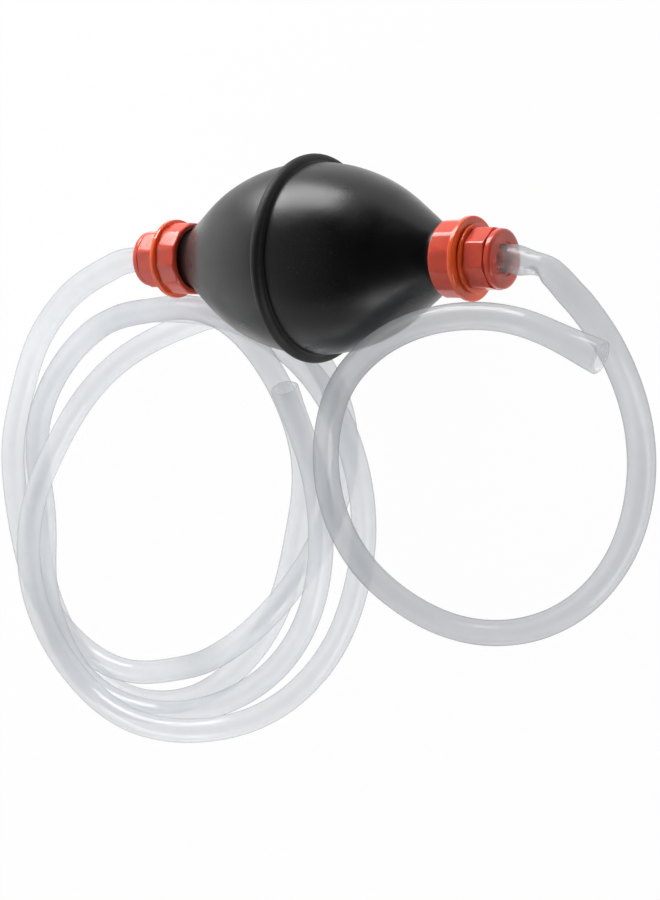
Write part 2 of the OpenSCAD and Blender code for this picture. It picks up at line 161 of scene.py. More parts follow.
class FittingSettings(PropertyGroup):
    """Sizes and colours of the two fittings: distances along the axis from the bulb's middle, and radii."""

    flange_in: FloatProperty(
        name="Flange", description="Inner face of the flange", default=0.08225, unit="LENGTH"
    )
    flange_out: FloatProperty(
        name="Flange end", description="Outer face of the flange", default=0.08475, unit="LENGTH"
    )
    step_out: FloatProperty(
        name="Step end", description="Outer face of the step", default=0.08675, unit="LENGTH"
    )
    nose_out: FloatProperty(
        name="Nose end", description="End of the threaded nose", default=0.09375, unit="LENGTH"
    )
    nut_in: FloatProperty(
        name="Nut start", description="Inner face of the hose nut", default=0.08705, unit="LENGTH"
    )
    nut_out: FloatProperty(
        name="Nut end", description="Outer face of the hose nut", default=0.10065, unit="LENGTH"
    )
    nut_floor: FloatProperty(
        name="Nut floor", description="Inside of the nut's end", default=0.09725, unit="LENGTH"
    )
    spigot: FloatProperty(
        name="Spigot", description="Length inside the neck", default=0.015, unit="LENGTH"
    )
    barb: FloatProperty(
        name="Barb", description="Length of the hose barb", default=0.0105, unit="LENGTH"
    )
    clamp: FloatProperty(
        name="Clamp", description="Length of the clamp ring", default=0.0066, unit="LENGTH"
    )
    collar: FloatProperty(name="Collar", description="Length of a collar", default=0.011, unit="LENGTH")
    collar_radius: FloatProperty(
        name="Collar radius", description="At its corners", default=0.0174, unit="LENGTH"
    )
    flange_radius: FloatProperty(
        name="Flange radius", description="Rim of a flange", default=0.0186, unit="LENGTH"
    )
    step_radius: FloatProperty(
        name="Step radius", description="Ring beyond the flange", default=0.0152, unit="LENGTH"
    )
    nut_radius: FloatProperty(
        name="Nut radius", description="At its corners", default=0.0142, unit="LENGTH"
    )
    nose_radius: FloatProperty(
        name="Nose radius", description="Outside of the nose", default=0.0105, unit="LENGTH"
    )
    spigot_radius: FloatProperty(
        name="Spigot radius", description="Inside the neck", default=0.0109, unit="LENGTH"
    )
    chamber_radius: FloatProperty(
        name="Chamber radius", description="Round the ball", default=0.0086, unit="LENGTH"
    )
    port_radius: FloatProperty(
        name="Port radius", description="Waterway in the barb", default=0.0032, unit="LENGTH"
    )
    barb_radius: FloatProperty(
        name="Barb radius", description="Between its ridges", default=0.00425, unit="LENGTH"
    )
    clamp_radius: FloatProperty(
        name="Clamp radius", description="Outside of the clamp ring", default=0.009, unit="LENGTH"
    )
    gap: FloatProperty(
        name="Gap", description="Between pieces that move", default=0.0003, unit="LENGTH"
    )
    corner: FloatProperty(
        name="Corners", description="Rounding between two flats", default=0.0005, unit="LENGTH"
    )
    collar_flats: IntProperty(name="Collar flats", description="Flats round a collar", default=12)
    nut_flats: IntProperty(name="Nut flats", description="Flats round a nut", default=8)
    stop_ribs: IntProperty(name="Stop ribs", description="Ribs that stop the outlet ball", default=4)
    colour: FloatVectorProperty(
        name="Plastic", description="Collars and nuts", default=(0.76, 0.082, 0.041), subtype="COLOR"
    )
    # A brighter copy of the collars' orange: painted glow of the thin flange lit from behind. The
    # subsurface glow of its finish is real.
    rim_colour_painted_glow: FloatVectorProperty(
        name="Rim plastic", description="Valve bodies, seen at the flange",
        default=(0.92, 0.140, 0.032), subtype="COLOR",
    )
    inner_colour: FloatVectorProperty(
        name="Inner plastic", description="Balls, cage, seat and clamp rings",
        default=(0.80, 0.80, 0.77), subtype="COLOR",
    )


class HoseSettings(PropertyGroup):
    """Sizes and tint of the clear hoses."""

    outside: FloatProperty(name="Outside", description="Outer diameter", default=0.012, unit="LENGTH")
    bore: FloatProperty(name="Bore", description="Inner diameter", default=0.009, unit="LENGTH")
    seat: FloatProperty(
        name="Seat", description="Where a hose starts on its barb", default=0.08725, unit="LENGTH"
    )
    short_end: FloatProperty(
        name="Short end", description="Straight end, short hose", default=0.020, unit="LENGTH"
    )
    long_end: FloatProperty(
        name="Long end", description="Straight end, long hose", default=0.024, unit="LENGTH"
    )
    sides: IntProperty(name="Sides", description="Faces round a hose", default=32)
    tint: FloatVectorProperty(
        name="Tint", description="Colour of the vinyl's haze", default=(0.965, 0.97, 0.977), subtype="COLOR"
    )


class StageSettings(PropertyGroup):
    """Camera, floor and light."""

    eye: FloatVectorProperty(
        name="Eye", description="Camera's place", default=(0.5962, 0.0, 0.8503), subtype="XYZ"
    )
    aim: FloatVectorProperty(
        name="Aim", description="Point in the picture's middle",
        default=(0.00474, -0.08727, 0.04398), subtype="XYZ",
    )
    lens: FloatProperty(name="Lens", description="Focal length in millimetres", default=87.66)
    floor: FloatVectorProperty(
        name="Floor", description="Colour of the floor", default=(0.94, 0.94, 0.94), subtype="COLOR"
    )


def settings(name):
    """The scene's settings for one group of pieces."""
    return getattr(bpy.context.scene, "siphon_" + name)


# Curves and routes


def on_curve(points, u):
    """A point of the smooth curve through the points: 0 is the first, 1.5 lies between the next two."""
    last = len(points) - 1
    i = min(int(u), last)
    t = u - i
    a, b, c, d = (points[min(max(i + k, 0), last)] for k in (-1, 0, 1, 2))
    return 0.5 * (2 * b + (c - a) * t + (2 * a - 5 * b + 4 * c - d) * t**2 + (3 * b - a - 3 * c + d) * t**3)


def smooth_route(points, parts):
    """The smooth curve through the points, with this many parts between two of them."""
    points = np.array(points, float)
    return [on_curve(points, k / parts) for k in range((len(points) - 1) * parts + 1)]


def coil_route(parts):
    """The coil's middle line, from its stations of reach and height round the centre."""
    stations = np.array(COIL_STATIONS, float)
    route = []
    for k in range((len(stations) - 1) * parts + 1):
        reach, height = on_curve(stations, k / parts)
        a = math.radians(COIL_START + COIL_STEP * k / parts)
        x = COIL_CENTRE[0] + reach * math.cos(a)
        y = COIL_CENTRE[1] + reach * math.sin(a)
        route.append(np.array((x, y, height)))
    return route


def run_along(line):
    """How far each point of a line lies from its start, along it."""
    return np.concatenate([[0], np.cumsum(np.linalg.norm(np.diff(line, axis=0), axis=1))])


def resampled(points, gap):
    """The same line with points an equal distance apart."""
    points = np.array(points)
    run = run_along(points)
    wanted = np.linspace(0, run[-1], max(2, round(run[-1] / gap) + 1))
    return np.stack([np.interp(wanted, run, points[:, k]) for k in range(3)], axis=1)


def whole_hose(route, seat_x, end_heading, end_length, radius):
    """A hose's middle line in metres, from its seat in the fitting to its open end."""
    seat = np.array((seat_x, 0, AXIS_HEIGHT))
    start = [seat + f * (route[0] - seat) for f in (0, 0.5)]
    way = np.array((math.cos(math.radians(end_heading)), math.sin(math.radians(end_heading)), 0))
    finish = [route[-1] + way * end_length * f for f in (0.25, 0.5, 0.75, 1)]
    line = np.array([*start, *route, *finish])
    line[:, 2] = np.maximum(line[:, 2], radius)
    return line


def eased(line, rounds, hold):
    """The line without its small wiggles. Its first points, up to hold, and its last two stay."""
    line = line.copy()
    for _ in range(rounds):
        line[hold:-2] = (line[hold - 1:-3] + 2 * line[hold:-2] + line[hold + 1:-1]) / 4
    return line


def hose_rings(line):
    """For each point of a line: its heading, the level direction across it, and the direction above it."""
    heading = np.gradient(line, axis=0)
    heading /= np.linalg.norm(heading, axis=1)[:, None]
    across = np.cross((0, 0, 1), heading)
    across /= np.linalg.norm(across, axis=1)[:, None]
    return heading, across, np.cross(heading, across)


def bump_at(run, middle, spread):
    """1 at the middle, falling smoothly to 0 on both sides."""
    return np.exp(-(((run - middle) / spread) ** 2))


def ramp(run, start, end):
    """0 up to the start, then a smooth rise to 1 at the end."""
    t = np.clip((run - start) / (end - start), 0, 1)
    return t * t * (3 - 2 * t)


def hose_mesh(name, line, radius, bore, sides, shape, slope):
    """A hollow hose round a line. shape gives, for the run along it, its width, its height and its fold.

    slope says how far the open end is cut back on its CUT_SIDE.
    """
    heading, across, above = hose_rings(line)
    run = run_along(line)
    wide, high, fold = shape(run)
    cut = ramp(run, start=run[-1] - CUT_RUN, end=run[-1])
    angles = np.arange(sides) * 2 * math.pi / sides
    dented = np.clip(-np.cos(angles + FOLD_TURN), 0, 1) ** FOLD_SHARPNESS
    last = len(line) - 1
    rings = []

    def ring(i, r, shift=0.0):
        flat = np.cos(angles) * wide[i] + fold[i] * dented
        tall = np.sin(angles) * high[i]
        out = flat[:, None] * across[i] + tall[:, None] * above[i]
        lean = (out @ CUT_SIDE + 1) * radius * slope * cut[i]
        rings.append(line[i] + heading[i] * shift + r * out - lean[:, None] * heading[i])

    def inset(i):
        """Leaves room for the rounding at either end."""
        return HOSE_EDGE * (int(i == 0) - int(i == last))

    ring(0, radius - HOSE_EDGE)
    for i in range(last + 1):
        ring(i, radius, inset(i))
    ring(last, radius - HOSE_EDGE)
    ring(last, bore + HOSE_EDGE)
    for i in range(last, -1, -1):
        ring(i, bore, inset(i))
    ring(0, bore + HOSE_EDGE)
    count = len(rings)
    faces = []
    for j in range(count):
        k = (j + 1) % count
        for a in range(sides):
            b = (a + 1) % sides
            faces.append((j * sides + a, j * sides + b, k * sides + b, k * sides + a))
    mesh = bpy.data.meshes.new(name)
    mesh.from_pydata(np.concatenate(rings).tolist(), [], faces)
    first_bore_face = (last + 3) * sides
    mesh.polygons.foreach_set("material_index", [int(k >= first_bore_face) for k in range(len(faces))])
    return mesh


# Meshes and objects


def tidy_mesh(mesh, crease=30):
    """Faces outwards, smooth shading, and sharp edges where the faces turn by more than crease degrees."""
    shape = bmesh.new()
    shape.from_mesh(mesh)
    bmesh.ops.remove_doubles(shape, verts=shape.verts, dist=1e-7)
    bmesh.ops.recalc_face_normals(shape, faces=shape.faces)
    shape.to_mesh(mesh)
    shape.free()
    mesh.shade_smooth()
    mesh.set_sharp_from_angle(angle=math.radians(crease))
    return mesh


def new_piece(name, mesh):
    """A mesh as an object of the scene."""
    piece = bpy.data.objects.new(name, mesh)
    bpy.context.scene.collection.objects.link(piece)
    return piece


def dress(piece, body, slot, *nodes):
    """The piece moves with a body and stands for nodes of the part, which it hides. slot is not used."""
    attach(piece, body)
    if nodes:
        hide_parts(*nodes)
    return piece


def plain_mesh(piece):
    """Turns what the piece's modifiers make into its own mesh."""
    bpy.context.view_layer.update()
    made = piece.evaluated_get(bpy.context.evaluated_depsgraph_get())
    mesh = bpy.data.meshes.new_from_object(made)
    piece.modifiers.clear()
    piece.data = mesh
    return piece


class Nodes:
    """Adds nodes to a tree, with their inputs given by name or number, and links outputs that are given."""

    def __init__(self, tree):
        self.tree = tree

    def add(self, kind, inputs=(), out=0, **options):
        node = self.tree.nodes.new(kind)
        for key, value in options.items():
            setattr(node, key, value)
        for key, value in dict(inputs).items():
            socket = node.inputs[key]
            if isinstance(value, bpy.types.NodeSocket):
                self.tree.links.new(value, socket)
            else:
                socket.default_value = value
        return node.outputs[out] if len(node.outputs) else node

    def math(self, operation, *values):
        return self.add("ShaderNodeMath", dict(enumerate(values)), operation=operation)


def set_inputs(modifier, **values):
    """Sets a tree's inputs by their sockets' identifiers."""
    for item in modifier.node_group.interface.items_tree:
        key = item.name.lower().replace(" ", "_")
        if item.in_out == "INPUT" and key in values:
            modifier[item.identifier] = values[key]


def new_tree(name, inputs, output):
    """A geometry tree with these inputs and one output: its node adder and the inputs' sockets."""
    tree = bpy.data.node_groups.new(name, "GeometryNodeTree")
    for label, kind in inputs:
        tree.interface.new_socket(label, in_out="INPUT", socket_type="NodeSocket" + kind)
    tree.interface.new_socket(output, in_out="OUTPUT", socket_type="NodeSocketGeometry")
    return Nodes(tree), tree.nodes.new("NodeGroupInput").outputs


def turned_tree():
    """A profile turned round the X axis, with flats cut into it where it stands out past them."""
    tree = bpy.data.node_groups.get("turned_piece")
    if tree:
        return tree
    inputs = (
        ("Profile", "Geometry"), ("Points", "Int"), ("Segments", "Int"), ("Flats", "Int"),
        ("Flat radius", "Float"), ("Corner softness", "Float"), ("Turn", "Float"), ("Direction", "Float"),
        ("Axis height", "Float"), ("Material", "Material"),
    )
    n, given = new_tree("turned_piece", inputs, "Piece")
    columns = n.math("ADD", given["Segments"], 1.0)
    sheet = n.add(
        "GeometryNodeMeshGrid",
        {"Size X": 1.0, "Size Y": 1.0, "Vertices X": columns, "Vertices Y": given["Points"]},
    )
    place = n.add("ShaderNodeSeparateXYZ", {0: n.add("GeometryNodeInputPosition")}).node.outputs
    row = n.math("MULTIPLY", n.math("ADD", place["Y"], 0.5), n.math("SUBTRACT", given["Points"], 1.0))
    point = n.add(
        "GeometryNodeSampleIndex",
        {
            "Geometry": given["Profile"], "Value": n.add("GeometryNodeInputPosition"),
            "Index": n.add("FunctionNodeFloatToInt", {0: row}, rounding_mode="ROUND"),
        },
        data_type="FLOAT_VECTOR",
    )
    point = n.add("ShaderNodeSeparateXYZ", {0: point}).node.outputs
    angle = n.math("MULTIPLY", n.math("ADD", place["X"], 0.5), 2 * math.pi)
    half = n.math("DIVIDE", math.pi, given["Flats"])
    past = n.math("SUBTRACT", angle, n.math("ADD", given["Turn"], half))
    off = n.math("WRAP", past, half, n.math("MULTIPLY", half, -1.0))
    flat = n.math("DIVIDE", given["Flat radius"], n.math("COSINE", off))
    reach = n.math("SMOOTH_MIN", point["X"], flat, given["Corner softness"])
    spot = n.add(
        "ShaderNodeCombineXYZ",
        {
            "X": n.math("MULTIPLY", point["Z"], given["Direction"]),
            "Y": n.math("MULTIPLY", reach, n.math("SINE", angle)),
            "Z": n.math("ADD", n.math("MULTIPLY", reach, n.math("COSINE", angle)), given["Axis height"]),
        },
    )
    shape = n.add("GeometryNodeSetPosition", {"Geometry": sheet, "Position": spot})
    shape = n.add("GeometryNodeMergeByDistance", {"Geometry": shape, "Distance": 1e-6})
    shape = n.add("GeometryNodeRealizeInstances", {"Geometry": shape})
    shape = n.add("GeometryNodeSetMaterial", {"Geometry": shape, "Material": given["Material"]})
    n.add("NodeGroupOutput", {"Piece": shape})
    return n.tree


def ring_tree():
    """Copies of a piece, evenly round an axis along X."""
    tree = bpy.data.node_groups.get("ring_of_copies")
    if tree:
        return tree
    inputs = (("Copy", "Geometry"), ("Count", "Int"), ("Axis height", "Float"), ("Material", "Material"))
    n, given = new_tree("ring_of_copies", inputs, "Ring")
    middle = n.add("ShaderNodeCombineXYZ", {"Z": given["Axis height"]})
    points = n.add("GeometryNodePoints", {"Count": given["Count"], "Position": middle})
    turned = n.math("MULTIPLY", n.add("GeometryNodeInputIndex"), 2 * math.pi)
    angle = n.math("DIVIDE", turned, given["Count"])
    turn = n.add("FunctionNodeEulerToRotation", {0: n.add("ShaderNodeCombineXYZ", {"X": angle})})
    shape = n.add(
        "GeometryNodeInstanceOnPoints", {"Points": points, "Instance": given["Copy"], "Rotation": turn}
    )
    shape = n.add("GeometryNodeRealizeInstances", {"Geometry": shape})
    shape = n.add("GeometryNodeSetMaterial", {"Geometry": shape, "Material": given["Material"]})
    n.add("NodeGroupOutput", {"Ring": shape})
    return n.tree


def ring_of_copies(name, mesh, count, finish):
    """A piece made of equal copies of a mesh round the bulb's axis."""
    piece = new_piece(name, mesh)
    modifier = piece.modifiers.new("Ring", "NODES")
    modifier.node_group = ring_tree()
    set_inputs(modifier, count=count, axis_height=AXIS_HEIGHT, material=finish)
    plain_mesh(piece)
    tidy_mesh(piece.data)
    return piece


def turned_piece(
    name, profile, direction, finish, segments=192, crease=30,
    flats=3, flat_radius=1.0, softness=0.0, turn=0.0,
):
    """A piece turned from a closed profile of (radius, distance along the axis)."""
    loop = [(r, 0.0, s) for r, s in [*profile, profile[0]]]
    mesh = bpy.data.meshes.new(name)
    mesh.from_pydata(loop, [(i, i + 1) for i in range(len(loop) - 1)], [])
    piece = new_piece(name, mesh)
    modifier = piece.modifiers.new("Turned", "NODES")
    modifier.node_group = turned_tree()
    set_inputs(
        modifier, points=len(loop), segments=segments, flats=flats, flat_radius=flat_radius,
        corner_softness=softness, turn=math.radians(turn), direction=float(direction),
        axis_height=AXIS_HEIGHT, material=finish,
    )
    plain_mesh(piece)
    tidy_mesh(piece.data, crease)
    return piece


def rounded(corners, steps=3):
    """A closed profile whose corners (radius, distance, rounding) are rounded off."""
    under_half = 0.49
    points = []
    for i, (r, s, soft) in enumerate(corners):
        here = Vector((r, s))
        if not soft:
            points.append((r, s))
            continue
        before = Vector(corners[i - 1][:2]) - here
        after = Vector(corners[(i + 1) % len(corners)][:2]) - here
        a = here + before.normalized() * min(soft, before.length * under_half)
        b = here + after.normalized() * min(soft, after.length * under_half)
        for k in range(steps + 1):
            t = k / steps
            points.append(tuple(a * (1 - t) ** 2 + here * 2 * t * (1 - t) + b * t**2))
    return points


def arc(centre_r, centre_s, radius, start, end, steps):
    """Points of a profile on an arc, with angles from the radial direction towards the axis's."""
    angles = [start + (end - start) * k / steps for k in range(steps + 1)]
    return [(centre_r + radius * math.cos(a), centre_s + radius * math.sin(a)) for a in angles]


# Finishes


def new_finish(name):
    """A material with a Principled shader, and the node adder for its tree."""
    finish = bpy.data.materials.new(name)
    finish.use_nodes = True
    finish.node_tree.nodes.clear()
    n = Nodes(finish.node_tree)
    shader = n.add("ShaderNodeBsdfPrincipled").node
    n.add("ShaderNodeOutputMaterial", {"Surface": shader.outputs[0]})
    return finish, n, shader


def stretched(n, value, start, end, low, high):
    """A value that runs from low to high while the given one runs from start to end."""
    return n.add(
        "ShaderNodeMapRange",
        {"Value": value, "From Min": start, "From Max": end, "To Min": low, "To Max": high},
    )


def noise(n, scale, detail=2.0, low=0.0, high=1.0, start=0.3, end=0.7):
    """Noise on the object's own coordinates, stretched from start and end to low and high."""
    spots = n.add("ShaderNodeTexCoord", out=3)
    value = n.add("ShaderNodeTexNoise", {"Vector": spots, "Scale": scale, "Detail": detail})
    return stretched(n, value, start, end, low, high)


def between(n, amount, one, other):
    """A colour between two, by an amount from 0 to 1."""
    node = n.add("ShaderNodeMix", data_type="RGBA").node
    n.tree.links.new(amount, node.inputs["Factor"])
    colours = [s for s in node.inputs if s.type == "RGBA"]
    for socket, colour in zip(colours, (one, other)):
        socket.default_value = (*colour, 1)
    return next(s for s in node.outputs if s.type == "RGBA")


def use(n, shader, **inputs):
    """Sets or links a shader's inputs, given by their names with underscores for spaces."""
    for name, value in inputs.items():
        socket = shader.inputs[name.replace("_", " ")]
        if isinstance(value, bpy.types.NodeSocket):
            n.tree.links.new(value, socket)
        else:
            socket.default_value = value


def rubber_finish(name, colour, gloss=0.31, seam=0.0):
    """Moulded rubber: satin, with a fine grain and a little dust.

    A dull rough band reaches as far as seam to each side of the middle.
    """
    fade = 0.0005
    finish, n, shader = new_finish(name)
    specks = noise(n, 1500, detail=1.0, start=0.66, end=0.72)
    patches = noise(n, 28, start=0.45, end=0.65)
    dust = n.math("MULTIPLY", specks, patches)
    dusty = tuple(min(1.0, c * 6 + 0.02) for c in colour)
    place = n.add("ShaderNodeSeparateXYZ", {0: n.add("ShaderNodeTexCoord", out=3)})
    off = n.math("ABSOLUTE", place)
    dull = stretched(n, off, seam, seam + fade, 1.0, 0.0)
    shine = noise(n, 45, detail=6.0, low=gloss - 0.07, high=gloss + 0.10)
    lumps = n.math("MULTIPLY", dull, noise(n, 420, low=0.0, high=5.0))
    height = n.math("ADD", noise(n, 1600, detail=3.0), lumps)
    grain = n.add("ShaderNodeBump", {"Strength": 0.12, "Distance": 0.0001, "Height": height})
    use(
        n, shader, Base_Color=between(n, dust, colour, dusty), Normal=grain, Specular_IOR_Level=0.45,
        Roughness=n.math("ADD", shine, n.math("MULTIPLY", dull, 0.28)),
    )
    return finish


def plastic_finish(name, colour, gloss=0.15, glow=0.15):
    """Glossy moulded plastic with slightly uneven colour and shine."""
    finish, n, shader = new_finish(name)
    deep = tuple(c * 0.86 for c in colour)
    wave = n.add("ShaderNodeBump", {"Strength": 0.06, "Distance": 0.0002, "Height": noise(n, 160)})
    use(
        n, shader, Base_Color=between(n, noise(n, 130, detail=3.0), colour, deep),
        Roughness=noise(n, 300, detail=4.0, low=gloss - 0.05, high=gloss + 0.06), Normal=wave,
        Subsurface_Weight=glow, Subsurface_Radius=(0.004, 0.0012, 0.0006), Subsurface_Scale=0.5,
    )
    return finish


def vinyl_finish(name, tint, body, face, edge, gleam, backlit=0.5):
    """Clear soft vinyl with a sharp shine. body is its share of milky haze.

    The wall lets the face colour through where it is seen straight on and the edge colour edge-on.
    gleam is how much it mirrors edge-on, and backlit is the share of the haze that is lit from behind.
    """
    straight_gleam = 0.024
    finish, n, shader = new_finish(name)
    haze = between(n, noise(n, 90), tint, tuple(c * 0.95 for c in tint))
    gloss = noise(n, 140, detail=3.0, low=0.04, high=0.08)
    use(n, shader, Base_Color=haze, Roughness=gloss, Specular_IOR_Level=0.25)
    glow = n.add("ShaderNodeBsdfTranslucent", {"Color": haze})
    milky = n.add("ShaderNodeMixShader", {0: backlit, 1: shader.outputs[0], 2: glow})
    slant = n.add("ShaderNodeLayerWeight", {"Blend": 0.5}, out=1)
    # The darker edge colour is partly real absorption in the longer path through the wall, and partly
    # painted shade: it stands for the dark edges that refraction in a clear tube's walls shows.
    through = between(n, n.math("POWER", slant, 3.0), face, edge)
    clear = n.add("ShaderNodeBsdfTransparent", {"Color": through})
    wall = n.add("ShaderNodeMixShader", {0: body, 1: clear, 2: milky})
    mirror = stretched(n, n.math("POWER", slant, 4.0), 0.0, 1.0, straight_gleam, gleam)
    shine = n.add("ShaderNodeBsdfGlossy", {"Color": (1, 1, 1, 1), "Roughness": gloss})
    mix = n.add("ShaderNodeMixShader", {0: mirror, 1: wall, 2: shine})
    output = next(x for x in n.tree.nodes if x.type == "OUTPUT_MATERIAL")
    n.tree.links.new(mix, output.inputs["Surface"])
    return finish


def paint(node_name, finish):
    """Gives a node of the part a better finish."""
    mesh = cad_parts[node_name].data
    mesh.materials.clear()
    mesh.materials.append(finish)


# Operators


class SIPHON_OT_camera(Operator):
    """Stand the camera where the photograph was taken from."""

    bl_idname = "siphon.camera"
    bl_label = "Camera"

    def execute(self, context):
        stage = settings("stage")
        data = bpy.data.cameras.new("Camera")
        data.lens = stage.lens
        data.sensor_width = 36
        data.clip_start, data.clip_end = 0.01, 20
        camera = bpy.data.objects.new("Camera", data)
        context.scene.collection.objects.link(camera)
        eye, aim = Vector(stage.eye), Vector(stage.aim)
        view = (aim - eye).normalized()
        right = view.cross(Vector((0, 1, 0))).normalized()
        up = right.cross(view)
        camera.matrix_world = Matrix.Translation(eye) @ Matrix((right, up, -view)).transposed().to_4x4()
        context.scene.camera = camera
        return {"FINISHED"}


class SIPHON_OT_hoses(Operator):
    """Lay the short hose in its loop and the long hose in its coil."""

    bl_idname = "siphon.hoses"
    bl_label = "Clear hoses"

    def execute(self, context):
        hose = settings("hose")
        tint = tuple(hose.tint)
        # Both hoses are one vinyl. The short hose's darker copy is painted shade, for its place further
        # from the light and partly in the bulb's shadow. The long hose's lighter copy is painted light, for
        # the stronger light on the left.
        shaded_vinyl = vinyl_finish(
            "grey_vinyl", tint, body=0.28, face=(0.835, 0.845, 0.86), edge=(0.13, 0.14, 0.16),
            gleam=0.12, backlit=0.65,
        )
        pale = vinyl_finish(
            "pale_vinyl", tint, body=0.30, face=(0.963, 0.970, 0.979), edge=(0.28, 0.295, 0.315),
            gleam=0.12, backlit=0.8,
        )
        inside = vinyl_finish(
            "vinyl_bore", tint, body=0.06, face=(0.995, 0.997, 1.0), edge=(0.80, 0.81, 0.83), gleam=0.40
        )
        radius = hose.outside / 2
        short = self.metres(smooth_route(SHORT_POINTS, parts=4))
        route = whole_hose(short, hose.seat, SHORT_END_HEADING, hose.short_end, radius)
        self.lay_hose(
            "short_hose", eased(resampled(route, gap=0.002), rounds=60, hold=28), (shaded_vinyl, inside),
            self.short_shape, 0.0, "loose", "short_hose_start", "short_hose_loop", "short_hose_end",
        )
        coil = coil_route(parts=6)
        lead = smooth_route([*LEAD_POINTS, coil[0]], parts=4)
        long = self.metres([*lead, *coil[1:]])
        route = whole_hose(long, -hose.seat, LONG_END_HEADING, hose.long_end, radius)
        self.lay_hose(
            "long_hose", eased(resampled(route, gap=0.004), rounds=6, hold=10), (pale, inside),
            self.long_shape, 0.65, "coiled",
            "long_hose_start", "long_hose_lead", "long_hose_coil", "long_hose_end",
        )
        return {"FINISHED"}

    @staticmethod
    def metres(route):
        """A route of the part's source, in the scene's unit."""
        return [p * MM for p in route]

    @staticmethod
    def lay_hose(name, line, finishes, shape, slope, lay, *nodes):
        """One hose round its line, with one finish outside and one in the bore. It stands for the nodes."""
        hose = settings("hose")
        seat = line[0][0]
        mesh = hose_mesh(name, line, hose.outside / 2, hose.bore / 2, hose.sides, shape, slope)
        tidy_mesh(mesh, crease=50)
        for finish in finishes:
            mesh.materials.append(finish)
        piece = dress(new_piece(name, mesh), "siphon", "clear_hose", *nodes)
        math.copysign(settings("fitting").nut_out, seat)

    @staticmethod
    def short_shape(run):
        """Kinked just outside its nut, flattened beyond the kink, and spread at its open end."""
        swell = bump_at(run, middle=0.019, spread=0.006)
        kink = bump_at(run, middle=0.033, spread=0.008)
        flat = ramp(run, start=0.030, end=0.055) * ramp(run, start=0.205, end=0.140)
        open_end = ramp(run, start=run[-1] - 0.035, end=run[-1]) ** 2
        wide = 1 + 0.07 * swell + 0.09 * flat + 0.22 * open_end
        high = 1 - 0.12 * kink - 0.08 * flat - 0.06 * open_end
        return wide, high, bump_at(run, middle=0.0285, spread=0.0036)

    @staticmethod
    def long_shape(run):
        """Flattened a little where it bends down from its nut, and spread at its open end."""
        flat = ramp(run, start=0.020, end=0.045) * ramp(run, start=0.200, end=0.140)
        open_end = ramp(run, start=run[-1] - 0.030, end=run[-1]) ** 2
        wide = 1 + 0.09 * flat + 0.17 * open_end
        high = 1 - 0.08 * flat - 0.04 * open_end
        return wide, high, 0 * run


class SIPHON_OT_bulb(Operator):
    """Turn the two moulded halves of the rubber bulb."""

    bl_idname = "siphon.bulb"
    bl_label = "Rubber bulb"

    def execute(self, context):
        bulb = settings("bulb")
        rubber = rubber_finish("black_rubber", tuple(bulb.colour), seam=bulb.bead_width / 2)
        profile = self.profile(bulb)
        for direction, name in ((1, "bulb_inlet_half"), (-1, "bulb_outlet_half")):
            piece = turned_piece(name + "_skin", profile, direction, rubber, segments=256, crease=40)
            dress(piece, "siphon", "rubber", name)
        return {"FINISHED"}

    @staticmethod
    def profile(bulb):
        """The straight shoulder touches the belly's curve and the hollow curve at the neck."""
        a = bulb.shoulder
        end = bulb.length / 2
        fillet_s = end - bulb.neck_length
        fillet_r = bulb.neck_radius + bulb.fillet
        run = fillet_s * math.sin(a) + (fillet_r - bulb.radius) * math.cos(a) - bulb.fillet
        curve = run / (1 - math.cos(a))
        centre = bulb.radius - curve
        bead = bulb.bead_width / 2
        top = bulb.radius + bulb.bead_proud - bead
        foot = math.asin(bead / curve) + BEAD_FOOT_TURN
        outside = [
            *arc(top, 0, bead, 0.0, math.pi / 2, steps=10),
            *arc(centre, 0, curve, foot, a, steps=40),
            *arc(fillet_r, fillet_s, -bulb.fillet, a, 0.0, steps=10),
            (bulb.neck_radius, end),
        ]
        inside = [
            (bulb.neck_radius - bulb.wall, end),
            *arc(fillet_r, fillet_s, -bulb.fillet - bulb.wall, 0.0, a, steps=10),
            *arc(centre, 0, curve - bulb.wall, a, 0.0, steps=24),
        ]
        return [*outside, *inside]


class SIPHON_OT_collars(Operator):
    """Turn the faceted collars over the bulb's necks."""

    bl_idname = "siphon.collars"
    bl_label = "Collars"

    def execute(self, context):
        fitting = settings("fitting")
        plastic = plastic_finish("orange_red_plastic", tuple(fitting.colour))
        rim = fitting.flange_in - fitting.collar
        bore = settings("bulb").neck_radius + FIT
        outer = fitting.collar_radius - TIP_TRIM
        chamfer = 0.0008
        mouth_wide, mouth_deep = 0.0003, 0.0006
        profile = rounded([
            (bore + mouth_wide, rim, FINE), (outer - chamfer, rim, FINE), (outer, rim + chamfer, SOFT),
            (outer, fitting.flange_in, FINE), (bore, fitting.flange_in, 0), (bore, rim + mouth_deep, FINE),
        ])
        flat = fitting.collar_radius * math.cos(math.pi / fitting.collar_flats)
        for direction, end, turn in ((1, "inlet", 10), (-1, "outlet", 18)):
            piece = turned_piece(
                end + "_collar_skin", profile, direction, plastic, segments=384, flats=fitting.collar_flats,
                flat_radius=flat, softness=fitting.corner, turn=turn, crease=24,
            )
            dress(piece, "siphon", "orange_plastic", end + "_collar")
        return {"FINISHED"}


